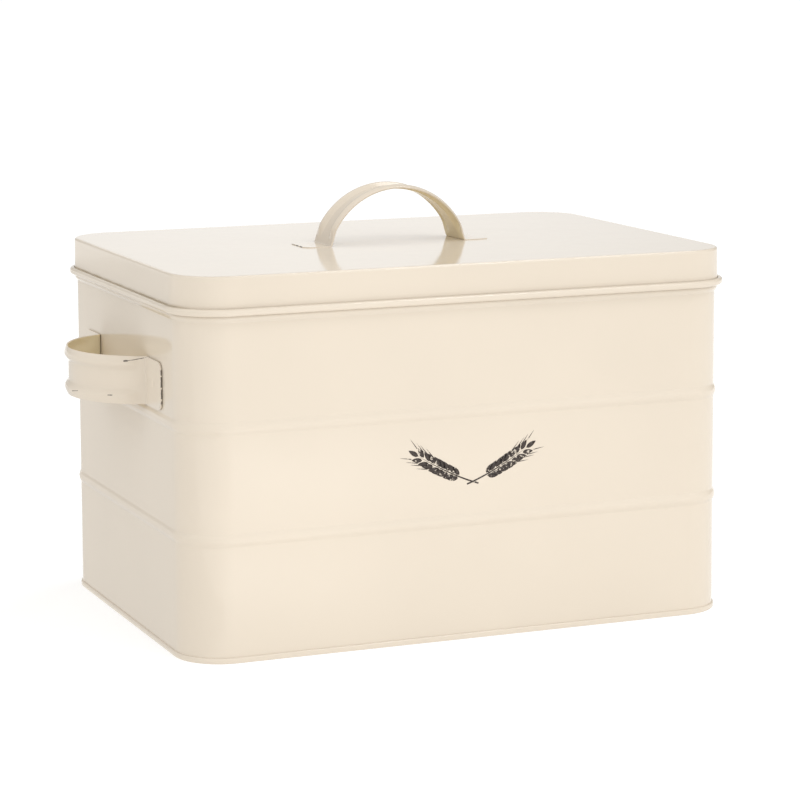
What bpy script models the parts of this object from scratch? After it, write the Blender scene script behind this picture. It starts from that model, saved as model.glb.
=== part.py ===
"""Bread bin in painted sheet steel: a rounded-rectangle bin with pressed ribs, a floor pan seamed to its
foot, two strap handles on the sides, and a lift-off lid with a curled edge and a strap handle on top.

Metres, +Z up. The origin is the middle of the footprint, on the surface that the bin stands on. The long
side is X, and the front faces -Y.
"""

import math

import bmesh
import bpy

# Bin body: outer faces of the wall, above its foot
BODY_X = 0.330
BODY_Y = 0.231
CORNER_R = 0.0264
CORNER_STEPS = 5
SHEET = 0.0007
GAP = 0.0003

# Lock seam that closes the wall's strip, up the middle of the back
SEAM_WIDTH = 0.008
SEAM_PROUD = 0.0006
SEAM_SLOPE = 0.0008

# Wall, bottom to top
WALL_FOOT_Z = 0.0012
RIB_Z = (0.0680, 0.1296)
RIB_HALF = 0.0035
RIB_PROUD = 0.0011
SHOULDER_Z = 0.1903
SHOULDER_HALF = 0.0026
SHOULDER_PROUD = 0.0014
BUMP_STEPS = 4
NECK_IN = 0.0012
NECK_START_Z = 0.1938
HEM_R = 0.0011
HEM_Z = 0.2029
HEM_LEG = 0.0017

# Floor pan: its outer ring is the double seam at the foot
FLOOR_SHEET = 0.0005
FLOOR_Z = 0.0045
FLOOR_STEP_IN = 0.014
FLOOR_STEP_RUN = 0.002
FLOOR_STEP_RISE = 0.001
SEAM_RING_OUT = 0.00095
SEAM_RING_IN = 0.0030
SEAM_RING_TOP = 0.0047
SEAM_RING_R = 0.0009

# Lid
LID_TOP_Z = 0.2130
LID_EDGE_R = 0.0015
SKIRT_TOP_OUT = 0.0013
SKIRT_FOOT_OUT = 0.0016
CURL_R = 0.0014
CURL_Z = 0.19315
CURL_SIDE = 0.0006
CURL_END_ANGLE = 120
CURL_STEPS = 5

# Strap handles: a pressed strap with a bead along each long edge
STRAP_WIDTH = 0.0270
STRAP_SHEET = 0.0009
BEAD_MIDDLE = 0.0097
BEAD_INNER = 0.0052
BEAD_OUTER = 0.0075
BEAD_PROUD = 0.0022
STRAP_BEND_R = 0.0015
STRAP_FLAT_FROM = 0.0025
STRAP_FLAT_TO = 0.0105
STRAP_STEPS_ACROSS = 17
BOW_STEPS = 10
TAB_END_LENGTH = 0.009
TAB_END_POWER = 3.0
TAB_STATIONS = (0.009, 0.0045, 0.0018, 0.0003)
LID_HANDLE = {"span": 0.0424, "rise": 0.0316, "tab": 0.0165}
SIDE_HANDLE = {"span": 0.0453, "rise": 0.0299, "tab": 0.027}
SIDE_HANDLE_Z = 0.1477

# Height of the lid's curl where it rests on the shoulder: the lid's slide joint is here
LID_SEAT_Z = 0.1914

CREAM = (0.84, 0.735, 0.60, 1.0)


def clear_scene():
    for obj in list(bpy.data.objects):
        bpy.data.objects.remove(obj, do_unlink=True)


def collection(name):
    made = bpy.data.collections.new(name)
    bpy.context.scene.collection.children.link(made)
    return made


def gloss_enamel(name):
    """Cream gloss enamel on sheet steel."""
    material = bpy.data.materials.new(name)
    material.use_nodes = True
    shader = material.node_tree.nodes["Principled BSDF"]
    shader.inputs["Base Color"].default_value = CREAM
    shader.inputs["Roughness"].default_value = 0.15
    shader.inputs["Metallic"].default_value = 0.0
    material.diffuse_color = CREAM
    return material


# Outlines and sections


def arc(centre, radius, start, end, steps):
    """Points on an arc from start to end, in degrees."""
    points = []
    for i in range(steps + 1):
        angle = math.radians(start + (end - start) * i / steps)
        points.append((centre[0] + radius * math.cos(angle), centre[1] + radius * math.sin(angle)))
    return points


def rounded_rectangle(lock_seam):
    """The wall's outer outline, anticlockwise, with the lock seam's raised band in the middle of the back."""
    x, y = BODY_X / 2 - CORNER_R, BODY_Y / 2 - CORNER_R
    corners = [((-x, y), 90), ((-x, -y), 180), ((x, -y), 270), ((x, y), 0)]
    points = []
    for centre, start in corners:
        points += arc(centre, CORNER_R, start, start + 90, CORNER_STEPS)
    if lock_seam:
        half, back = SEAM_WIDTH / 2, BODY_Y / 2
        points += [
            (half + SEAM_SLOPE, back),
            (half, back + SEAM_PROUD),
            (-half, back + SEAM_PROUD),
            (-half - SEAM_SLOPE, back),
        ]
    return points


def bump(middle, half, proud):
    """A pressed rib: (outward, height) points up a half wave that stands proud of the wall."""
    points = []
    for i in range(BUMP_STEPS + 1):
        u = -1 + 2 * i / BUMP_STEPS
        points.append((proud * math.cos(u * math.pi / 2), middle + half * u))
    return points


def wall_section():
    """The wall's outer face from its foot to the hem that is rolled inwards at the top of the neck."""
    points = [(0.0, WALL_FOOT_Z)]
    for z in RIB_Z:
        points += bump(z, RIB_HALF, RIB_PROUD)
    points += bump(SHOULDER_Z, SHOULDER_HALF, SHOULDER_PROUD)
    points.append((-NECK_IN, NECK_START_Z))
    points += arc((-NECK_IN - HEM_R, HEM_Z), HEM_R, 0, 180, 4)
    points.append((-NECK_IN - 2 * HEM_R, HEM_Z - HEM_LEG))
    return points


def floor_section():
    """The floor pan's underside, from the edge of its raised middle to the top of the seam's ring."""
    r = SEAM_RING_R
    step_in = FLOOR_STEP_IN + FLOOR_STEP_RUN
    points = [
        (-step_in, FLOOR_Z + FLOOR_STEP_RISE),
        (-FLOOR_STEP_IN, FLOOR_Z),
        (-SEAM_RING_IN - r, FLOOR_Z),
        (-SEAM_RING_IN, FLOOR_Z - r),
    ]
    points += arc((-SEAM_RING_IN + r, r), r, 180, 270, 2)
    points += arc((SEAM_RING_OUT - r, r), r, 270, 360, 3)
    points += arc((SEAM_RING_OUT - r, SEAM_RING_TOP - r), r, 0, 50, 2)
    return points


def lid_section():
    """The middle of the lid's sheet, from the edge of the flat top, down the skirt and round the curl."""
    half = SHEET / 2
    edge_r = LID_EDGE_R - half
    skirt_top = SKIRT_TOP_OUT - half
    skirt_foot = SKIRT_FOOT_OUT - half
    top = LID_TOP_Z - half
    points = arc((skirt_top - edge_r, top - edge_r), edge_r, 90, 0, 3)
    curl_middle = skirt_foot + CURL_R
    points += arc((curl_middle, CURL_Z), CURL_R, 180, 360, CURL_STEPS)
    points += arc((curl_middle, CURL_Z + CURL_SIDE), CURL_R, 0, CURL_END_ANGLE, 3)
    return points


# Sheet-metal shells: a section swept round the outline, then given its thickness


def poly_curve(name, points, cyclic):
    data = bpy.data.curves.new(name, "CURVE")
    data.dimensions = "2D"
    data.fill_mode = "NONE"
    spline = data.splines.new("POLY")
    spline.points.add(len(points) - 1)
    for point, (x, y) in zip(spline.points, points):
        point.co = (x, y, 0.0, 1.0)
    spline.use_cyclic_u = cyclic
    obj = bpy.data.objects.new(name, data)
    bpy.context.scene.collection.objects.link(obj)
    return obj


def swept_skin(name, outline, section, fill_z=None):
    """An open surface: the section swept round the outline, with its open ring at fill_z closed flat.

    The section is mirrored because its +X points into a closed 2D outline.
    """
    path = poly_curve(name + "_outline", outline, True)
    profile = poly_curve(name + "_section", [(-out, z) for out, z in section], False)
    path.data.bevel_mode = "OBJECT"
    path.data.bevel_object = profile
    bpy.context.view_layer.update()
    graph = bpy.context.evaluated_depsgraph_get()
    mesh = bpy.data.meshes.new_from_object(path.evaluated_get(graph))
    for curve in (path, profile):
        bpy.data.objects.remove(curve, do_unlink=True)
    mesh.name = name
    bm = bmesh.new()
    bm.from_mesh(mesh)
    bmesh.ops.remove_doubles(bm, verts=bm.verts, dist=1e-6)
    if fill_z is not None:
        ring = [e for e in bm.edges if e.is_boundary and all(abs(v.co.z - fill_z) < 1e-6 for v in e.verts)]
        bmesh.ops.holes_fill(bm, edges=ring, sides=0)
    bmesh.ops.recalc_face_normals(bm, faces=bm.faces)
    bm.to_mesh(mesh)
    bm.free()
    return mesh


def add_part(name, mesh, where, material):
    obj = bpy.data.objects.new(name, mesh)
    where.objects.link(obj)
    mesh.materials.clear()
    mesh.materials.append(material)
    mesh.shade_smooth()
    return obj


def solidify(obj, thickness, offset):
    """Gives the skin its thickness: offset -1 puts it behind the skin, 0 half on each side."""
    modifier = obj.modifiers.new("sheet", "SOLIDIFY")
    modifier.thickness = thickness
    modifier.offset = offset
    modifier.use_even_offset = True
    modifier.use_quality_normals = True


# Strap handles


def strap_line(span, rise, tab):
    """Half of the strap's side view: a round bow from its top, a tight bend, and the tab to its end.

    Each station is (along, out, beading, width): the beads fade out just above the bend, and the tab's
    end is rounded.
    """
    bend = STRAP_BEND_R
    bow = (span**2 + rise**2) / (2 * rise)
    middle = rise - bow
    bend_at = math.sqrt((bow + bend) ** 2 - (bend - middle) ** 2)
    foot_angle = math.degrees(math.atan2(bend - middle, bend_at))
    stations = []
    for along, out in arc((0.0, middle), bow, 90, foot_angle, BOW_STEPS):
        fade = (out - STRAP_FLAT_FROM) / (STRAP_FLAT_TO - STRAP_FLAT_FROM)
        stations.append((along, out, min(max(fade, 0.0), 1.0), 1.0))
    for along, out in arc((bend_at, bend), bend, foot_angle + 180, 270, 3)[1:]:
        stations.append((along, out, 0.0, 1.0))
    for to_end in TAB_STATIONS:
        reach = min(to_end / TAB_END_LENGTH, 1.0)
        width = (1 - (1 - reach) ** TAB_END_POWER) ** (1 / TAB_END_POWER)
        stations.append((span + tab - to_end, 0.0, 0.0, width))
    return stations


def bead_height(across):
    """How far the strap's face stands out at this distance from its centre line.

    A bead falls steeply to the flat middle, and its outer slope is cut off by the strap's edge.
    """
    from_crest = abs(across) - BEAD_MIDDLE
    u = from_crest / (BEAD_OUTER if from_crest > 0 else BEAD_INNER)
    return BEAD_PROUD * math.cos(u * math.pi / 2) ** 2 if abs(u) < 1 else 0.0


def strap_mesh(name, span, rise, tab):
    """Half of the strap as a grid bent along its side view: X along, Y across, Z away from the surface."""
    stations = strap_line(span, rise, tab)
    last = len(stations) - 1
    bm = bmesh.new()
    bmesh.ops.create_grid(bm, x_segments=last, y_segments=STRAP_STEPS_ACROSS, size=1.0)
    for vert in bm.verts:
        i = round((vert.co.x + 1) / 2 * last)
        along, out, beading, width = stations[i]
        before, after = stations[max(i - 1, 0)], stations[min(i + 1, last)]
        run, rise_here = after[0] - before[0], after[1] - before[1]
        length = math.hypot(run, rise_here)
        normal = (-rise_here / length, run / length) if i else (0.0, 1.0)
        across = vert.co.y * STRAP_WIDTH / 2
        height = beading * bead_height(across)
        vert.co = (along + normal[0] * height, across * width, out + normal[1] * height)
    mesh = bpy.data.meshes.new(name)
    bm.to_mesh(mesh)
    bm.free()
    return mesh


def strap_handle(name, sizes, where, material):
    """The whole strap, its tabs' undersides one gap above the local XY plane."""
    obj = add_part(name, strap_mesh(name, **sizes), where, material)
    for vert in obj.data.vertices:
        vert.co.z += GAP + STRAP_SHEET / 2
    mirror = obj.modifiers.new("other_half", "MIRROR")
    mirror.use_axis = (True, False, False)
    mirror.merge_threshold = 0.00005
    solidify(obj, STRAP_SHEET, 0.0)
    return obj


# The pieces


def make_body(where, enamel):
    seamed = rounded_rectangle(lock_seam=True)
    wall = add_part("body_wall", swept_skin("body_wall", seamed, wall_section()), where, enamel)
    solidify(wall, SHEET, -1.0)
    middle_z = FLOOR_Z + FLOOR_STEP_RISE
    skin = swept_skin("floor_panel", seamed, floor_section(), fill_z=middle_z)
    floor = add_part("floor_panel", skin, where, enamel)
    solidify(floor, FLOOR_SHEET, -1.0)


def make_lid(where, lift, enamel):
    skin = swept_skin("lid_shell", rounded_rectangle(lock_seam=False), lid_section(), LID_TOP_Z - SHEET / 2)
    shell = add_part("lid_shell", skin, where, enamel)
    solidify(shell, SHEET, 0.0)
    handle = strap_handle("lid_handle", LID_HANDLE, where, enamel)
    handle.location.z = LID_TOP_Z
    for obj in (shell, handle):
        obj.parent = lift
        obj.matrix_parent_inverse = lift.matrix_world.inverted()


def make_side_handles(where, enamel):
    for name, side in (("side_handle_left", -1), ("side_handle_right", 1)):
        handle = strap_handle(name, SIDE_HANDLE, where, enamel)
        handle.location = (side * BODY_X / 2, 0.0, SIDE_HANDLE_Z)
        handle.rotation_euler = (math.radians(90), 0.0, math.radians(90 * side))


def main():
    clear_scene()
    parts = collection("bread_bin")
    body_enamel = gloss_enamel("body_enamel")
    handle_enamel = gloss_enamel("handle_enamel")
    lid_enamel = gloss_enamel("lid_enamel")
    lift = bpy.data.objects.new("lid_lift", None)
    lift.location = (0.0, 0.0, LID_SEAT_Z)
    parts.objects.link(lift)
    bpy.context.view_layer.update()
    make_body(parts, body_enamel)
    make_side_handles(parts, handle_enamel)
    make_lid(parts, lift, lid_enamel)


main()
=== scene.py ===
"""Looks for the bread bin: fine sheet-metal surfaces, gloss cream paint, the print on the front, the camera
and the studio. Everything is in metres, in the frame of the CAD model.
"""

import math

import bpy
from mathutils import Euler, Matrix, Vector, noise


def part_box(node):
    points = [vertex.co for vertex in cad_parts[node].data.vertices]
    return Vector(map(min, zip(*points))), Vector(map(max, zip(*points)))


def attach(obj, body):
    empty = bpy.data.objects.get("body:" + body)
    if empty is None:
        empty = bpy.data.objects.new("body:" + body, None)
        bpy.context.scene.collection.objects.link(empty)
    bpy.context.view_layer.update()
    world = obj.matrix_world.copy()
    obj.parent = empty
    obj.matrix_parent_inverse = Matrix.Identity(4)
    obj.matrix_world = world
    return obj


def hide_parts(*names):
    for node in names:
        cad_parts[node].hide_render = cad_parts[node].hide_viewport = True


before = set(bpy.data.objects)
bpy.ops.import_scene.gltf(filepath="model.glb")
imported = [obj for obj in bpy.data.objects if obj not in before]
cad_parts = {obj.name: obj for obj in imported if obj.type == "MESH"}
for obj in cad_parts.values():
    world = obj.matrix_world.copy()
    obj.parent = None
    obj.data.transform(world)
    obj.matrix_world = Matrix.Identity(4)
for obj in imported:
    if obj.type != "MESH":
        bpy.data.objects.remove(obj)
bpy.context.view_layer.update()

# Camera: where the photographer stands, the way the lens points, and how it frames the bin
CAMERA_EYE = (-0.6390, -1.5582, 0.4084)
CAMERA_AZIMUTH = 21.89
CAMERA_DOWN = 7.3925
CAMERA_ROLL = -0.3035
CAMERA_LENS = 129.07
CAMERA_SENSOR = 36.0
CAMERA_SHIFT = (0.0375, -0.15)

# Sheet and outline of the bin. The wall's foot is out of sight behind the seam's ring, which stands a little
# off the wall. It is 1.3 mm higher than the CAD wall's.
SHEET = 0.0007
FLOOR_SHEET = 0.0005
CORNER_R = 0.0264
SHOULDER_PROUD = 0.0014
WALL_FOOT = 0.0025
SEAM_WIDTH = 0.008
SEAM_PROUD = 0.0006
SEAM_SLOPE = 0.0008
SEAM_STATIONS = (1.6, 1.0, 0.75, 0.5, 0.25, 0.0, -0.5)
WALL_LOW, WALL_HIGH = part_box("body_wall")
BODY_HALF_X = WALL_HIGH.x - SHOULDER_PROUD
BODY_HALF_Y = -WALL_LOW.y - SHOULDER_PROUD

# Ribs, shoulder bead, neck and hem of the wall
RIB_Z = (0.0680, 0.1296)
RIB_HALF = 0.0035
RIB_PROUD = 0.0011
SHOULDER_Z = 0.1903
SHOULDER_HALF = 0.0026
NECK_IN = 0.0012
NECK_START_Z = 0.1938
HEM_R = 0.0011
HEM_Z = WALL_HIGH.z - HEM_R
HEM_LEG = 0.0017

# Floor pan, and the ring of its seam with the wall
FLOOR_Z = 0.0045
FLOOR_STEP_IN = 0.014
FLOOR_STEP_RUN = 0.002
FLOOR_STEP_RISE = 0.001
SEAM_RING_OUT = 0.00095
SEAM_RING_IN = 0.0030
SEAM_RING_TOP = 0.0033
SEAM_RING_R = 0.0009

# Lid
LID_TOP_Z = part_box("lid_shell")[1].z
LID_EDGE_R = 0.0015
SKIRT_TOP_OUT = 0.0013
SKIRT_FOOT_OUT = 0.0016
CURL_R = 0.0014
CURL_Z = 0.19315
CURL_SIDE = 0.0006
CURL_END_ANGLE = 120
LID_STEP = 0.004

# Strap handles. A gap is from the surface to the tab's underside. The lid's tabs are sunk in the lid's sheet
# by half their own thickness, so that they look welded down.
STRAP_WIDTH = 0.0270
STRAP_SHEET = 0.0009
STRAP_EDGE_R = 0.00028
BEAD_MIDDLE = 0.0093
BEAD_INNER = 0.0042
BEAD_OUTER = 0.0075
BEAD_PROUD = 0.00215
STRAP_BEND_R = 0.0015
STRAP_FLAT_FROM = 0.0025
STRAP_FLAT_TO = 0.0105
TAB_END_LENGTH = 0.0100
TAB_END_POWER = 4.5
TAB_END_BLUNT = 0.0003
TAB_END_CROWDING = 1.8
TAB_STEP = 0.0008
LID_HANDLE = {"span": 0.0424, "rise": 0.0320, "tab": 0.0165}
SIDE_HANDLE = {"span": 0.0453, "rise": 0.0299, "tab": 0.027}
LID_TAB_GAP = -0.00045
SIDE_TAB_GAP = 0.0003
SIDE_LOW, SIDE_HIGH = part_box("side_handle_left")
SIDE_HANDLE_Z = (SIDE_LOW.z + SIDE_HIGH.z) / 2
WELD_R = 0.003
WELD_DEEP = 0.00018
WELD_ALONG = 0.45

# Springing of the wall's sheet between its ribs and corners
WANDER = 0.00022
WANDER_EDGE = 0.035
WANDER_SCALE = 12.0
WANDER_SCALE_Z = 9.0

# Print on the front: two wheat ears whose stems cross near their feet
PRINT_X = 0.002
PRINT_Z = 0.1000
PRINT_THICK = 0.00005
PRINT_OFF = 0.00003
EAR_FOOT = (-0.0035, -0.0115)
EAR_BEND = (0.012, -0.0065)
EAR_TIP = (0.0330, 0.0065)
EAR_STEPS = 30
GRAIN_ROWS = 8
GRAIN_FROM = 0.36
GRAIN_LENGTH = 0.0076
GRAIN_WIDTH = 0.0031
GRAIN_LEAN = 27
GRAIN_ROUND = 0.8
GRAIN_SHRINK = 0.28
LARGEST_ROW = 0.45
TIP_GRAIN = (0.9, 0.85)
STEM_WIDTH = 0.0009
AWN_LENGTH = 0.0070
AWN_WIDTH = 0.00045
AWN_START = 1.02
AWN_TURN = 5
AWN_STEPS = 4

# Fineness of the surfaces
CORNER_STEPS = 18
STRAIGHT_STEP = 0.010
BUMP_STEPS = 10
CREASE = 0.0004
STRAP_STEPS_ACROSS = 46
TAB_END_STEPS = 14
BOW_STEPS = 48

# Paint: linear colours, then roughness, then depths and noise scales of its surface
CREAM = (0.70, 0.617, 0.508)
# The straps' insides: a yellower copy of the cream, painted shade on the faces towards what holds them
INSIDE_SHADE_CREAM = (0.79, 0.69, 0.47)
PRINT_BROWN = (0.032, 0.020, 0.014)
# Dark of the chips, and of the painted shadow lines in the straps' gaps and folds
CHIP_AND_SHADE_DARK = (0.07, 0.06, 0.05)
# Brown of the painted shade in the lid's crease between skirt and curl
CREVICE_SHADE_BROWN = (0.40, 0.31, 0.17)
GLOSS_IOR = 1.45
WALL_ROUGH = 0.08
STRAP_ROUGH = 0.09
INSIDE_ROUGH = 0.12
PRINT_ROUGH = 0.25
WALL_WAVE = 0.00008
STRAP_WAVE = 0.00004
PEEL_DEEP = 0.000004
WAVE_SCALE = 22.0
PEEL_SCALE = 650.0
DRIFT_SCALE = 9.0
GLOSS_SCALE = 140.0
# Noise scale of the ragged edges of the chips and of the painted shadow lines
CHIP_AND_SHADE_SCALE = 900.0
# Noise scale of the patchy painted shade in the lid's crease
CREVICE_SHADE_SCALE = 60.0
WEAR_SCALE = 620.0

# Chips and painted shadow lines in the paint, each from one point to another, with a radius: on the left
# strap, painted shade along the fold where its upper bead flattens, small knocks, and painted shadow in the
# gap at its front tab's end; painted shadow in the gaps at the lid strap's left tab; and a knock on the lid's
# curl
STRAP_CHIPS_AND_SHADE = [
    # Painted shade along the fold where the left strap's upper bead flattens
    ((-0.1775, -0.0413, 0.1587), (-0.1760, -0.0421, 0.1588), 0.00050),
    ((-0.1765, -0.0418, 0.1587), (-0.1723, -0.0432, 0.1593), 0.00022),
    ((-0.1723, -0.0432, 0.1593), (-0.1681, -0.0447, 0.1601), 0.00022),
    ((-0.1681, -0.0447, 0.1601), (-0.1662, -0.0461, 0.1606), 0.00022),
    ((-0.1851, -0.0344, 0.1389), (-0.1833, -0.0362, 0.1390), 0.00030),
    ((-0.1979, -0.0064, 0.1378), (-0.1965, -0.0130, 0.1388), 0.00022),
    ((-0.1662, 0.0462, 0.1607), (-0.1657, 0.0451, 0.1588), 0.00065),
    # Painted shadow in the gap at the front tab's end
    ((-0.1657, -0.0722, 0.1590), (-0.1657, -0.0723, 0.1545), 0.00048),
    ((-0.1657, -0.0723, 0.1530), (-0.1657, -0.0723, 0.1480), 0.00058),
    ((-0.1657, -0.0723, 0.1462), (-0.1657, -0.0723, 0.1415), 0.00050),
    ((-0.1657, -0.0720, 0.1395), (-0.1657, -0.0705, 0.1364), 0.00042),
    # Painted shadow in the gaps at the lid strap's left tab
    ((-0.0589, 0.0085, 0.2133), (-0.0589, 0.0040, 0.2133), 0.00034),
    ((-0.0589, 0.0015, 0.2133), (-0.0589, -0.0018, 0.2133), 0.00048),
    ((-0.0589, -0.0045, 0.2133), (-0.0587, -0.0080, 0.2133), 0.00048),
]
LID_CHIPS = [
    ((0.1650, -0.1045, 0.1951), (0.1660, -0.1035, 0.1951), 0.00070),
]

# Brown painted shade in the crease between the lid's skirt and its curl, on the left side only: the heights
# where it starts, is thickest and ends, and the stretch of X over which it sets in towards the left
CREVICE_SHADE_Z = (0.1951, 0.1957, 0.1970)
CREVICE_SHADE_X = (-0.1600, -0.1650)

# Studio: floor spots are (x, y, radius, strength), sky lobes are (azimuth, elevation, sharpness, strength),
# and softboxes are (name, azimuth, elevation, size, power). Azimuths turn from straight behind the bin
# towards its right. The flag is a card on the floor, from its low to its high corner.
FLOOR_HALF = 60.0
FLOOR_WHITE = (0.60, 0.60, 0.60)
FLOOR_GLOW = 0.515
FLOOR_SPOTS = [
    (0.07, -0.60, 0.10, 0.86),
    (-0.09, -0.31, 0.07, 0.80),
]
FLAG_LOW = (-1.30, -0.25)
FLAG_HIGH = (-0.1675, 1.80)
FLAG_Z = 0.0003
FLAG_GREY = 0.74
SKY_GLOW = 0.02
SKY_LOBES = [
    (20, 4, 16.0, 0.87),
    (60, 15, 4.0, 0.14),
    (150, 15, 2.0, 1.53),
    (-100, 45, 2.0, 1.19),
    (-35, 15, 3.0, 0.47),
]
SOFTBOX_DISTANCE = 2.2
SOFTBOXES = [
    ("edge", 60, 62, (0.9, 1.0), 10.0),
    ("curl", 140, 53, (0.5, 0.5), 6.0),
    ("rim", -2, 21, (0.30, 0.12), 0.15),
]


# Outlines and sections


def arc(centre, radius, start, end, steps):
    """Points on an arc from start to end, in degrees."""
    points = []
    for i in range(steps + 1):
        angle = math.radians(start + (end - start) * i / steps)
        points.append((centre[0] + radius * math.cos(angle), centre[1] + radius * math.sin(angle)))
    return points


def smooth(value):
    """An even step from 0 to 1 that starts and ends gently."""
    value = min(max(value, 0.0), 1.0)
    return value * value * (3 - 2 * value)


def stretch(start, end, step):
    """Values from start to end, without the ends, about a step apart."""
    count = max(2, round(abs(end - start) / step))
    return [start + (end - start) * i / count for i in range(1, count)]


def outline(lock_seam):
    """Stations round the wall, anticlockwise from the front: (x, y, outward x, outward y, extra outward)."""
    x, y = BODY_HALF_X - CORNER_R, BODY_HALF_Y - CORNER_R
    stations = []
    corners = [((x, -y), 270), ((x, y), 0), ((-x, y), 90), ((-x, -y), 180)]
    for k, (centre, start) in enumerate(corners):
        for i in range(CORNER_STEPS + 1):
            angle = math.radians(start + 90 * i / CORNER_STEPS)
            nx, ny = math.cos(angle), math.sin(angle)
            stations.append((centre[0] + CORNER_R * nx, centre[1] + CORNER_R * ny, nx, ny, 0.0))
        nx, ny = [(1, 0), (0, 1), (-1, 0), (0, -1)][k]
        if k in (0, 2):
            along = [(nx * BODY_HALF_X, nx * v) for v in stretch(-y, y, STRAIGHT_STEP)]
            stations += [(px, py, nx, ny, 0.0) for px, py in along]
        elif k == 3 or not lock_seam:
            along = [(-ny * v, ny * BODY_HALF_Y) for v in stretch(-x, x, STRAIGHT_STEP)]
            stations += [(px, py, nx, ny, 0.0) for px, py in along]
        else:
            stations += back_stations(x)
    return stations


def back_stations(x):
    """The back's straight run, with the lock seam's raised band in its middle."""
    half = SEAM_WIDTH / 2
    edge = [half + SEAM_SLOPE * s for s in SEAM_STATIONS]
    right = stretch(x, edge[0], STRAIGHT_STEP) + edge
    across = right + [0.0] + [-v for v in reversed(right)]
    stations = []
    for v in across:
        proud = SEAM_PROUD * smooth((half + SEAM_SLOPE - abs(v)) / SEAM_SLOPE)
        stations.append((v, BODY_HALF_Y, 0.0, 1.0, proud))
    return stations


def bump(middle, half, proud):
    """A pressed rib: (outward, height) points up a half wave, with a point just outside each edge."""
    points = [(0.0, middle - half - CREASE)]
    for i in range(BUMP_STEPS + 1):
        u = -1 + 2 * i / BUMP_STEPS
        points.append((proud * math.cos(u * math.pi / 2), middle + half * u))
    points.append((0.0, middle + half + CREASE))
    return points


def wall_section():
    """The wall's outer face from its foot to the hem that is rolled inwards at the top of the neck."""
    points = [(0.0, WALL_FOOT), (0.0, WALL_FOOT + CREASE)]
    last = WALL_FOOT
    for z in RIB_Z:
        points += [(0.0, v) for v in stretch(last, z - RIB_HALF, STRAIGHT_STEP)]
        points += bump(z, RIB_HALF, RIB_PROUD)
        last = z + RIB_HALF
    points += [(0.0, v) for v in stretch(last, SHOULDER_Z - SHOULDER_HALF, STRAIGHT_STEP)]
    points += bump(SHOULDER_Z, SHOULDER_HALF, SHOULDER_PROUD)[:-1]
    points.append((-NECK_IN, NECK_START_Z))
    points.append((-NECK_IN, (NECK_START_Z + HEM_Z) / 2))
    points += arc((-NECK_IN - HEM_R, HEM_Z), HEM_R, 0, 180, 10)
    points.append((-NECK_IN - 2 * HEM_R, HEM_Z - HEM_LEG))
    return points


def floor_section():
    """The floor pan's underside, from the edge of its raised middle to the top of the seam's ring."""
    r = SEAM_RING_R
    step_in = FLOOR_STEP_IN + FLOOR_STEP_RUN
    points = [
        (-step_in - CREASE, FLOOR_Z + FLOOR_STEP_RISE),
        (-step_in, FLOOR_Z + FLOOR_STEP_RISE),
        (-FLOOR_STEP_IN, FLOOR_Z),
        (-FLOOR_STEP_IN + CREASE, FLOOR_Z),
        (-SEAM_RING_IN - r - CREASE, FLOOR_Z),
    ]
    points += arc((-SEAM_RING_IN - r, FLOOR_Z - r), r, 90, 0, 4)
    points += arc((-SEAM_RING_IN + r, r), r, 180, 270, 5)
    points += arc((SEAM_RING_OUT - r, r), r, 270, 360, 6)
    points += arc((SEAM_RING_OUT - r, SEAM_RING_TOP - r), r, 0, 100, 8)
    return points


def lid_section():
    """The middle of the lid's sheet, from the edge of the flat top, down the skirt and round the curl."""
    half = SHEET / 2
    edge_r = LID_EDGE_R - half
    skirt_top = SKIRT_TOP_OUT - half
    skirt_foot = SKIRT_FOOT_OUT - half
    top = LID_TOP_Z - half
    points = [(skirt_top - edge_r - LID_STEP, top), (skirt_top - edge_r - CREASE, top)]
    points += arc((skirt_top - edge_r, top - edge_r), edge_r, 90, 0, 8)
    skirt_start = top - edge_r
    for z in [skirt_start - CREASE] + stretch(skirt_start, CURL_Z, LID_STEP) + [CURL_Z + CREASE]:
        share = (skirt_start - z) / (skirt_start - CURL_Z)
        points.append((skirt_top + (skirt_foot - skirt_top) * share, z))
    curl_middle = skirt_foot + CURL_R
    points += arc((curl_middle, CURL_Z), CURL_R, 180, 360, 16)
    points += arc((curl_middle, CURL_Z + CURL_SIDE), CURL_R, 0, CURL_END_ANGLE, 10)
    return points


# Meshes


def mesh_object(name, points, faces):
    mesh = bpy.data.meshes.new(name)
    mesh.from_pydata(points, [], faces)
    mesh.validate()
    mesh.shade_smooth()
    obj = bpy.data.objects.new(name, mesh)
    bpy.context.scene.collection.objects.link(obj)
    return obj


def swept_shell(name, stations, section, filled=False, wander=None):
    """The section swept round the stations. filled closes its first ring flat."""
    count = len(stations)
    points, faces = [], []
    for out, z in section:
        for x, y, nx, ny, extra in stations:
            reach = out + extra
            if wander:
                reach += wander(x, y, z)
            points.append((x + nx * reach, y + ny * reach, z))
    for row in range(len(section) - 1):
        for i in range(count):
            a, b = row * count + i, row * count + (i + 1) % count
            faces.append((a, b, b + count, a + count))
    if filled:
        faces.append(tuple(reversed(range(count))))
    return mesh_object(name, points, faces)


def solidify(obj, thickness, offset):
    modifier = obj.modifiers.new("sheet", "SOLIDIFY")
    modifier.thickness = thickness
    modifier.offset = offset
    modifier.use_even_offset = True
    modifier.use_quality_normals = True


def soften_edges(obj, width):
    """Rounds the sheet's cut edges, as paint does."""
    modifier = obj.modifiers.new("paint_edge", "BEVEL")
    modifier.width = width
    modifier.segments = 3
    modifier.limit_method = "ANGLE"
    modifier.angle_limit = math.radians(50)


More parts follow.
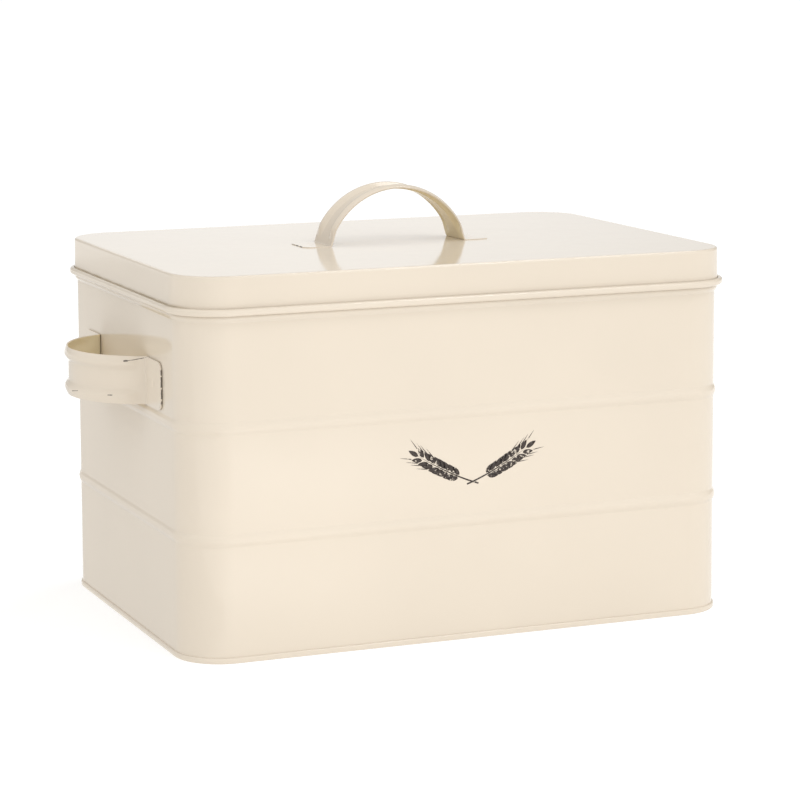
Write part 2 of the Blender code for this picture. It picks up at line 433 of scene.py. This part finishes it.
def sheet_wander(x, y, z):
    """How far the wall's sheet springs off its flat: nothing at its corners and ribs."""
    if abs(y) > BODY_HALF_Y - CREASE:
        to_corner = BODY_HALF_X - CORNER_R - abs(x)
    else:
        to_corner = BODY_HALF_Y - CORNER_R - abs(y)
    lines = (WALL_FOOT, *RIB_Z, SHOULDER_Z)
    share = 0.0
    for low, high in zip(lines, lines[1:]):
        if low < z < high:
            share = math.sin(math.pi * (z - low) / (high - low))
    wave = noise.noise(Vector((x * WANDER_SCALE, y * WANDER_SCALE, z * WANDER_SCALE_Z)))
    return WANDER * share * smooth(to_corner / WANDER_EDGE) * wave


# Strap handles


def strap_line(span, rise, tab):
    """Half of the strap's side view: a round bow from its top, a tight bend, and the tab to its end.

    Each station is (along, out, beading, width): the beads fade out just above the bend, and the tab's
    end is rounded.
    """
    bend = STRAP_BEND_R
    bow = (span**2 + rise**2) / (2 * rise)
    middle = rise - bow
    bend_at = math.sqrt((bow + bend) ** 2 - (bend - middle) ** 2)
    foot_angle = math.degrees(math.atan2(bend - middle, bend_at))
    stations = []
    for along, out in arc((0.0, middle), bow, 90, foot_angle, BOW_STEPS):
        fade = smooth((out - STRAP_FLAT_FROM) / (STRAP_FLAT_TO - STRAP_FLAT_FROM))
        stations.append((along, out, fade, 1.0))
    for along, out in arc((bend_at, bend), bend, foot_angle + 180, 270, 8)[1:]:
        stations.append((along, out, 0.0, 1.0))
    tab_end = span + tab
    for along in stretch(bend_at, tab_end - TAB_END_LENGTH, TAB_STEP):
        stations.append((along, 0.0, 0.0, 1.0))
    for i in range(TAB_END_STEPS + 1):
        to_end = TAB_END_LENGTH * (1 - i / TAB_END_STEPS) ** TAB_END_CROWDING + TAB_END_BLUNT
        reach = min(to_end / TAB_END_LENGTH, 1.0)
        width = (1 - (1 - reach) ** TAB_END_POWER) ** (1 / TAB_END_POWER)
        stations.append((tab_end - to_end, 0.0, 0.0, width))
    return stations


def bead_height(across):
    """How far the strap's face stands out at this distance from its centre line.

    A bead falls steeply to the flat middle, and its outer slope is cut off by the strap's edge.
    """
    from_crest = abs(across) - BEAD_MIDDLE
    u = from_crest / (BEAD_OUTER if from_crest > 0 else BEAD_INNER)
    return BEAD_PROUD * math.cos(u * math.pi / 2) ** 2 if abs(u) < 1 else 0.0


def strap_mesh(name, sizes, gap):
    """Both halves of the strap as one grid: X along, Y across, Z away from the surface that holds it."""
    half_line = strap_line(**sizes)
    line = [(-a, o, b, w) for a, o, b, w in reversed(half_line[1:])] + half_line
    last = len(line) - 1
    lift = gap + STRAP_SHEET / 2
    weld = sizes["span"] + STRAP_BEND_R + (sizes["tab"] - STRAP_BEND_R) * WELD_ALONG
    points, faces = [], []
    for i, (along, out, beading, width) in enumerate(line):
        before, after = line[max(i - 1, 0)], line[min(i + 1, last)]
        run, rise_here = after[0] - before[0], after[1] - before[1]
        length = math.hypot(run, rise_here)
        normal = (-rise_here / length, run / length)
        for j in range(STRAP_STEPS_ACROSS + 1):
            across = (2 * j / STRAP_STEPS_ACROSS - 1) * STRAP_WIDTH / 2
            height = beading * bead_height(across)
            y = across * width
            if beading == 0.0:
                height -= WELD_DEEP * smooth(1 - math.hypot(abs(along) - weld, y) / WELD_R)
            points.append((along + normal[0] * height, y, lift + out + normal[1] * height))
    row = STRAP_STEPS_ACROSS + 1
    for i in range(last):
        for j in range(STRAP_STEPS_ACROSS):
            a = i * row + j
            faces.append((a, a + row, a + row + 1, a + 1))
    return mesh_object(name, points, faces)


def strap_handle(name, sizes, gap, matrix):
    """A strap with its sheet's thickness and softened edges, put in its place."""
    obj = strap_mesh(name, sizes, gap)
    obj.data.transform(matrix)
    solidify(obj, STRAP_SHEET, 0.0)
    soften_edges(obj, STRAP_EDGE_R)
    return obj


# Print


def pointed_oval(length, width, steps=7):
    """A grain's outline, from its foot at the origin to its tip along +X."""
    side = []
    for i in range(1, steps):
        t = i / steps
        side.append((length * t, width / 2 * math.sin(math.pi * t**GRAIN_ROUND) ** GRAIN_ROUND))
    return [(0.0, 0.0)] + [(x, -y) for x, y in side] + [(length, 0.0)] + list(reversed(side))


def tapered_line(line, width):
    """The outline of a stroke along a line of points, full width at its foot and pointed at its tip."""
    left, right = [], []
    for i, (x, y) in enumerate(line[:-1]):
        ahead = line[i + 1]
        length = math.hypot(ahead[0] - x, ahead[1] - y)
        nx, ny = -(ahead[1] - y) / length, (ahead[0] - x) / length
        half = width / 2 * (1 - (i / (len(line) - 1)) ** 2)
        left.append((x + nx * half, y + ny * half))
        right.append((x - nx * half, y - ny * half))
    return right + [line[-1]] + list(reversed(left))


def placed(points, at, angle):
    """The points turned by the angle, then moved to a place."""
    c, s = math.cos(angle), math.sin(angle)
    return [(at[0] + x * c - y * s, at[1] + x * s + y * c) for x, y in points]


def ear_line():
    """The stem's curve, from its foot to the tip of the ear."""
    line = []
    for i in range(EAR_STEPS + 1):
        t = i / EAR_STEPS
        foot, bend, tip = (1 - t) ** 2, 2 * t * (1 - t), t * t
        line.append(tuple(foot * EAR_FOOT[k] + bend * EAR_BEND[k] + tip * EAR_TIP[k] for k in (0, 1)))
    return line


def wheat_ear():
    """The outlines of one ear: its stem, its grains in two rows, and an awn out of each upper grain."""
    line = ear_line()
    shapes = [tapered_line(line, STEM_WIDTH)]
    for row in range(GRAIN_ROWS):
        t = GRAIN_FROM + (1 - GRAIN_FROM) * row / GRAIN_ROWS
        i = round(t * EAR_STEPS)
        (x, y), ahead = line[i], line[i + 1]
        heading_here = math.atan2(ahead[1] - y, ahead[0] - x)
        size = 1.0 - GRAIN_SHRINK * abs(row / (GRAIN_ROWS - 1) - LARGEST_ROW)
        for side in (-1, 1):
            angle = heading_here + side * math.radians(GRAIN_LEAN)
            aside = side * STEM_WIDTH
            foot = (x - aside * math.sin(heading_here), y + aside * math.cos(heading_here))
            shapes.append(placed(pointed_oval(GRAIN_LENGTH * size, GRAIN_WIDTH * size), foot, angle))
            if row >= GRAIN_ROWS // 2:
                start = GRAIN_LENGTH * size * AWN_START
                awn = [(start + AWN_LENGTH * k / AWN_STEPS, 0.0) for k in range(AWN_STEPS + 1)]
                turned = angle - side * math.radians(AWN_TURN)
                shapes.append(placed(tapered_line(awn, AWN_WIDTH), foot, turned))
    tip_angle = math.atan2(line[-1][1] - line[-2][1], line[-1][0] - line[-2][0])
    tip = pointed_oval(GRAIN_LENGTH * TIP_GRAIN[0], GRAIN_WIDTH * TIP_GRAIN[1])
    shapes.append(placed(tip, line[-1], tip_angle))
    return shapes


def make_print(material):
    """Each outline becomes a thin closed plate that follows the front wall."""
    ear = wheat_ear()
    shapes = ear + [[(-x, y) for x, y in reversed(shape)] for shape in ear]
    points, faces = [], []
    for shape in shapes:
        start, count = len(points), len(shape)
        for off in (PRINT_OFF, PRINT_OFF + PRINT_THICK):
            for u, v in shape:
                x, z = PRINT_X + u, PRINT_Z + v
                points.append((x, -BODY_HALF_Y - sheet_wander(x, -BODY_HALF_Y, z) - off, z))
        back, front = range(start, start + count), range(start + count, start + 2 * count)
        faces.append(tuple(front))
        faces.append(tuple(reversed(back)))
        for i in range(count):
            after = (i + 1) % count
            faces.append((back[i], back[after], front[after], front[i]))
    obj = mesh_object("wheat_print", points, faces)
    obj.data.materials.append(material)
    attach(obj, "bin")


# Materials


def new_material(name):
    material = bpy.data.materials.new(name)
    material.use_nodes = True
    tree = material.node_tree
    return material, tree, tree.nodes["Principled BSDF"]


def node(tree, kind, **settings):
    """A node, with settings that are properties set on it, and the rest set on its inputs by name."""
    made = tree.nodes.new(kind)
    for key, value in settings.items():
        if hasattr(made, key):
            setattr(made, key, value)
        else:
            made.inputs[key.replace("_", " ").title()].default_value = value
    return made


def object_coordinates(tree):
    return node(tree, "ShaderNodeTexCoord").outputs["Object"]


def noise_value(tree, where, scale, detail=2.0):
    made = node(tree, "ShaderNodeTexNoise", scale=scale, detail=detail, roughness=0.5)
    tree.links.new(where, made.inputs["Vector"])
    return made.outputs["Fac"]


def mapped(tree, value, low, high, to_low, to_high):
    made = node(tree, "ShaderNodeMapRange")
    for key, number in zip(("From Min", "From Max", "To Min", "To Max"), (low, high, to_low, to_high)):
        made.inputs[key].default_value = number
    tree.links.new(value, made.inputs["Value"])
    return made.outputs["Result"]


def math_node(tree, operation, *values):
    """A Math node. Each value is a number or a socket."""
    made = node(tree, "ShaderNodeMath", operation=operation)
    for socket, value in zip(made.inputs, values):
        if isinstance(value, (int, float)):
            socket.default_value = value
        else:
            tree.links.new(value, socket)
    return made.outputs[0]


def mixed(tree, share, colour_a, colour_b):
    """Mixes two colours. Each is three numbers or a socket."""
    made = node(tree, "ShaderNodeMix", data_type="RGBA")
    for socket, colour in ((made.inputs[6], colour_a), (made.inputs[7], colour_b)):
        if isinstance(colour, tuple):
            socket.default_value = (*colour, 1.0)
        else:
            tree.links.new(colour, socket)
    tree.links.new(share, made.inputs[0])
    return made.outputs[2]


def shaded(colour, by):
    return tuple(min(channel * by, 1.0) for channel in colour)


def add_paint_bump(tree, shader, where, wave):
    """Orange peel in the gloss, over the slow waviness of thin sheet."""
    peel = node(tree, "ShaderNodeBump", strength=1.0, distance=PEEL_DEEP)
    tree.links.new(noise_value(tree, where, PEEL_SCALE, 1.0), peel.inputs["Height"])
    slow = node(tree, "ShaderNodeBump", strength=1.0, distance=wave)
    tree.links.new(noise_value(tree, where, WAVE_SCALE, 1.0), slow.inputs["Height"])
    tree.links.new(slow.outputs["Normal"], peel.inputs["Normal"])
    tree.links.new(peel.outputs["Normal"], shader.inputs["Normal"])


def from_line(tree, where, start, end):
    """The distance from the straight line between two points, its ends included."""
    axis = Vector(end) - Vector(start)
    away = node(tree, "ShaderNodeVectorMath", operation="SUBTRACT")
    tree.links.new(where, away.inputs[0])
    away.inputs[1].default_value = start
    along = node(tree, "ShaderNodeVectorMath", operation="DOT_PRODUCT")
    tree.links.new(away.outputs["Vector"], along.inputs[0])
    along.inputs[1].default_value = axis / axis.length_squared
    share = node(tree, "ShaderNodeClamp")
    tree.links.new(along.outputs["Value"], share.inputs["Value"])
    nearest = node(tree, "ShaderNodeVectorMath", operation="SCALE")
    nearest.inputs[0].default_value = axis
    tree.links.new(share.outputs["Result"], nearest.inputs["Scale"])
    gap = node(tree, "ShaderNodeVectorMath", operation="DISTANCE")
    tree.links.new(away.outputs["Vector"], gap.inputs[0])
    tree.links.new(nearest.outputs["Vector"], gap.inputs[1])
    return gap.outputs["Value"]


def with_chips_and_shade(tree, where, base, chips_and_shade):
    """The colour, with a dark mark along each of the lines: chips in the paint, and painted shadow lines in
    gaps and folds.
    """
    closest = None
    for start, end, radius in chips_and_shade:
        share = math_node(tree, "DIVIDE", from_line(tree, where, start, end), radius)
        closest = share if closest is None else math_node(tree, "MINIMUM", closest, share)
    ragged = math_node(tree, "MULTIPLY_ADD", noise_value(tree, where, CHIP_AND_SHADE_SCALE, 3.0), 1.2, closest)
    return mixed(tree, mapped(tree, ragged, 1.35, 1.75, 0.9, 0.0), base, CHIP_AND_SHADE_DARK)


def with_crevice_shade(tree, where, base):
    """The colour, with brown painted shade in the corner between the lid's skirt and its curl, on the left
    side only.
    """
    split = node(tree, "ShaderNodeSeparateXYZ")
    tree.links.new(where, split.inputs[0])
    low, start, high = CREVICE_SHADE_Z
    above = mapped(tree, split.outputs["Z"], low, start, 0.0, 1.0)
    below = mapped(tree, split.outputs["Z"], start, high, 1.0, 0.0)
    patchy = mapped(tree, noise_value(tree, where, CREVICE_SHADE_SCALE, 3.0), 0.35, 0.70, 0.15, 0.8)
    left = mapped(tree, split.outputs["X"], *CREVICE_SHADE_X, 0.0, 1.0)
    share = math_node(tree, "MULTIPLY", math_node(tree, "MULTIPLY", above, below), patchy)
    share = math_node(tree, "MULTIPLY", share, left)
    return mixed(tree, share, base, CREVICE_SHADE_BROWN)


def paint(name, colour, rough, wave, chips_and_shade=(), crevice_shade=False):
    """Gloss stove enamel on steel: a slow drift in colour, an uneven gloss, and any chips, painted shadow
    lines in gaps and folds, and brown painted shade in the lid's crease.
    """
    material, tree, shader = new_material(name)
    where = object_coordinates(tree)
    drift = mapped(tree, noise_value(tree, where, DRIFT_SCALE), 0.35, 0.65, 0.0, 1.0)
    base = mixed(tree, drift, shaded(colour, 0.985), shaded(colour, 1.012))
    # Chips, and painted shadow lines in gaps and folds
    if chips_and_shade:
        base = with_chips_and_shade(tree, where, base, chips_and_shade)
    # Brown painted shade in the lid's crease, on the left side only
    if crevice_shade:
        base = with_crevice_shade(tree, where, base)
    tree.links.new(base, shader.inputs["Base Color"])
    gloss = mapped(tree, noise_value(tree, where, GLOSS_SCALE, 4.0), 0.3, 0.7, rough * 0.85, rough * 1.25)
    tree.links.new(gloss, shader.inputs["Roughness"])
    shader.inputs["IOR"].default_value = GLOSS_IOR
    add_paint_bump(tree, shader, where, wave)
    return material


def print_ink(name):
    """Dark brown print, worn through to the cream in small patches."""
    material, tree, shader = new_material(name)
    where = object_coordinates(tree)
    worn = mapped(tree, noise_value(tree, where, WEAR_SCALE, 3.0), 0.60, 0.66, 0.0, 0.85)
    base = mixed(tree, worn, PRINT_BROWN, CREAM)
    tree.links.new(base, shader.inputs["Base Color"])
    shader.inputs["Roughness"].default_value = PRINT_ROUGH
    return material


def use_material(obj, material, body, node_name):
    """Gives the piece its material, the body that it rides on, and the CAD node that it stands for."""
    obj.data.materials.clear()
    obj.data.materials.append(material)
    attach(obj, body)
    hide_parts(node_name)


# The pieces


def make_wall(material):
    obj = swept_shell("wall_skin", outline(True), wall_section(), wander=sheet_wander)
    solidify(obj, SHEET, -1.0)
    use_material(obj, material, "bin", "body_wall")


def make_floor_pan(material):
    obj = swept_shell("floor_pan", outline(True), floor_section(), filled=True)
    solidify(obj, FLOOR_SHEET, -1.0)
    use_material(obj, material, "bin", "floor_panel")


def make_lid(material):
    obj = swept_shell("lid_skin", outline(False), lid_section(), filled=True)
    solidify(obj, SHEET, 0.0)
    use_material(obj, material, "lid", "lid_shell")


def use_strap_materials(obj, materials, body, node_name):
    """The outside material on the strap, and the inside one, a yellower copy of the cream that paints shade,
    on the face towards what holds it.
    """
    use_material(obj, materials[0], body, node_name)
    obj.data.materials.append(materials[1])
    obj.modifiers["sheet"].material_offset = 1


def make_handles(materials):
    on_lid = Matrix.Translation((0.0, 0.0, LID_TOP_Z))
    obj = strap_handle("lid_strap", LID_HANDLE, LID_TAB_GAP, on_lid)
    use_strap_materials(obj, materials, "lid", "lid_handle")
    for name, side in (("left", -1), ("right", 1)):
        turn = Euler((math.radians(90), 0.0, math.radians(90 * side))).to_matrix().to_4x4()
        place = Matrix.Translation((side * BODY_HALF_X, 0.0, SIDE_HANDLE_Z)) @ turn
        obj = strap_handle("side_strap_" + name, SIDE_HANDLE, SIDE_TAB_GAP, place)
        use_strap_materials(obj, materials, "bin", "side_handle_" + name)


# Studio


def make_camera():
    data = bpy.data.cameras.new("camera")
    data.lens = CAMERA_LENS
    data.sensor_width = CAMERA_SENSOR
    data.shift_x, data.shift_y = CAMERA_SHIFT
    obj = bpy.data.objects.new("camera", data)
    bpy.context.scene.collection.objects.link(obj)
    aim = Euler((math.radians(90 - CAMERA_DOWN), 0.0, math.radians(-CAMERA_AZIMUTH))).to_matrix().to_4x4()
    roll = Matrix.Rotation(math.radians(CAMERA_ROLL), 4, "Z")
    obj.matrix_world = Matrix.Translation(CAMERA_EYE) @ aim @ roll
    bpy.context.scene.camera = obj


def glowing_card(name, low, high, z, colour):
    """A flat card of the studio between two corners, which glows and has no gloss."""
    (x0, y0), (x1, y1) = low, high
    obj = mesh_object(name, [(x0, y0, z), (x1, y0, z), (x1, y1, z), (x0, y1, z)], [(0, 1, 2, 3)])
    material, tree, shader = new_material(name)
    shader.inputs["Base Color"].default_value = (*colour, 1.0)
    shader.inputs["Specular IOR Level"].default_value = 0.0
    shader.inputs["Emission Color"].default_value = (1.0, 1.0, 1.0, 1.0)
    obj.data.materials.append(material)
    return obj, tree, shader


def make_floor():
    """A wide pale floor that glows evenly, and more brightly in soft round spots in front of the bin."""
    low, high = (-FLOOR_HALF, -FLOOR_HALF), (FLOOR_HALF, FLOOR_HALF)
    obj, tree, shader = glowing_card("studio_floor", low, high, 0.0, FLOOR_WHITE)
    shader.inputs["Roughness"].default_value = 1.0
    where = object_coordinates(tree)
    glow = FLOOR_GLOW
    for x, y, radius, strength in FLOOR_SPOTS:
        away = node(tree, "ShaderNodeVectorMath", operation="DISTANCE")
        tree.links.new(where, away.inputs[0])
        away.inputs[1].default_value = (x, y, 0.0)
        share = math_node(tree, "DIVIDE", away.outputs["Value"], radius)
        squared = math_node(tree, "MULTIPLY", share, share)
        falloff = math_node(tree, "POWER", math.e, math_node(tree, "MULTIPLY", squared, -0.5))
        glow = math_node(tree, "MULTIPLY_ADD", falloff, strength, glow)
    tree.links.new(glow, shader.inputs["Emission Strength"])


def make_flag():
    """A card at the left, darker than the floor, which only reflections see. It deepens that side's colour."""
    obj, _, shader = glowing_card("studio_flag", FLAG_LOW, FLAG_HIGH, FLAG_Z, (0.0, 0.0, 0.0))
    shader.inputs["Emission Strength"].default_value = FLAG_GREY
    obj.visible_camera = False
    obj.visible_diffuse = False
    obj.visible_shadow = False


def heading(azimuth, elevation):
    """The direction at an azimuth, from straight behind the bin towards its right, and an elevation."""
    az, el = math.radians(azimuth), math.radians(elevation)
    return Vector((math.sin(az) * math.cos(el), math.cos(az) * math.cos(el), math.sin(el)))


def softbox(name, azimuth, elevation, size, power):
    """A rectangular soft light that faces the bin. It lights and reflects, but isn't seen itself."""
    data = bpy.data.lights.new(name, "AREA")
    data.shape = "RECTANGLE"
    data.size, data.size_y = size
    data.energy = power
    obj = bpy.data.objects.new(name, data)
    bpy.context.scene.collection.objects.link(obj)
    direction = heading(azimuth, elevation)
    obj.location = Vector((0.0, 0.0, LID_TOP_Z / 2)) + direction * SOFTBOX_DISTANCE
    obj.rotation_euler = direction.to_track_quat("Z", "Y").to_euler()
    obj.visible_camera = False


def make_world():
    """White surroundings: a faint even glow, and soft lobes that brighten some sides of the room."""
    world = bpy.data.worlds.new("studio")
    bpy.context.scene.world = world
    world.use_nodes = True
    tree = world.node_tree
    background = tree.nodes["Background"]
    where = node(tree, "ShaderNodeTexCoord").outputs["Generated"]
    total = None
    for azimuth, elevation, sharpness, strength in SKY_LOBES:
        facing = node(tree, "ShaderNodeVectorMath", operation="DOT_PRODUCT")
        tree.links.new(where, facing.inputs[0])
        facing.inputs[1].default_value = heading(azimuth, elevation)
        ahead = math_node(tree, "MAXIMUM", facing.outputs["Value"], 0.0)
        lobe = math_node(tree, "POWER", ahead, sharpness)
        total = math_node(tree, "MULTIPLY_ADD", lobe, strength, SKY_GLOW if total is None else total)
    tree.links.new(total, background.inputs["Strength"])
    background.inputs["Color"].default_value = (1.0, 1.0, 1.0, 1.0)


def make_studio():
    make_floor()
    make_flag()
    make_world()
    for softbox_values in SOFTBOXES:
        softbox(*softbox_values)
    bpy.context.scene.view_settings.view_transform = "Standard"


def main():
    make_camera()
    body_paint = paint("cream_gloss_paint", CREAM, WALL_ROUGH, WALL_WAVE)
    # The lid's paint has a chip, and brown painted shade in the crease between skirt and curl on its left side
    lid_paint = paint("cream_lid_paint", CREAM, WALL_ROUGH, WALL_WAVE, LID_CHIPS, True)
    # The straps' paint has chips, and painted shadow lines in their gaps and folds
    strap_paint = paint("cream_handle_paint", CREAM, STRAP_ROUGH, STRAP_WAVE, STRAP_CHIPS_AND_SHADE)
    # The straps' insides: the same paint in a yellower copy of the cream, painted shade
    strap_inside_shade = paint("cream_handle_inside_shade", INSIDE_SHADE_CREAM, INSIDE_ROUGH, STRAP_WAVE)
    make_wall(body_paint)
    make_floor_pan(body_paint)
    make_lid(lid_paint)
    make_handles((strap_paint, strap_inside_shade))
    make_print(print_ink("brown_print"))
    make_studio()


main()
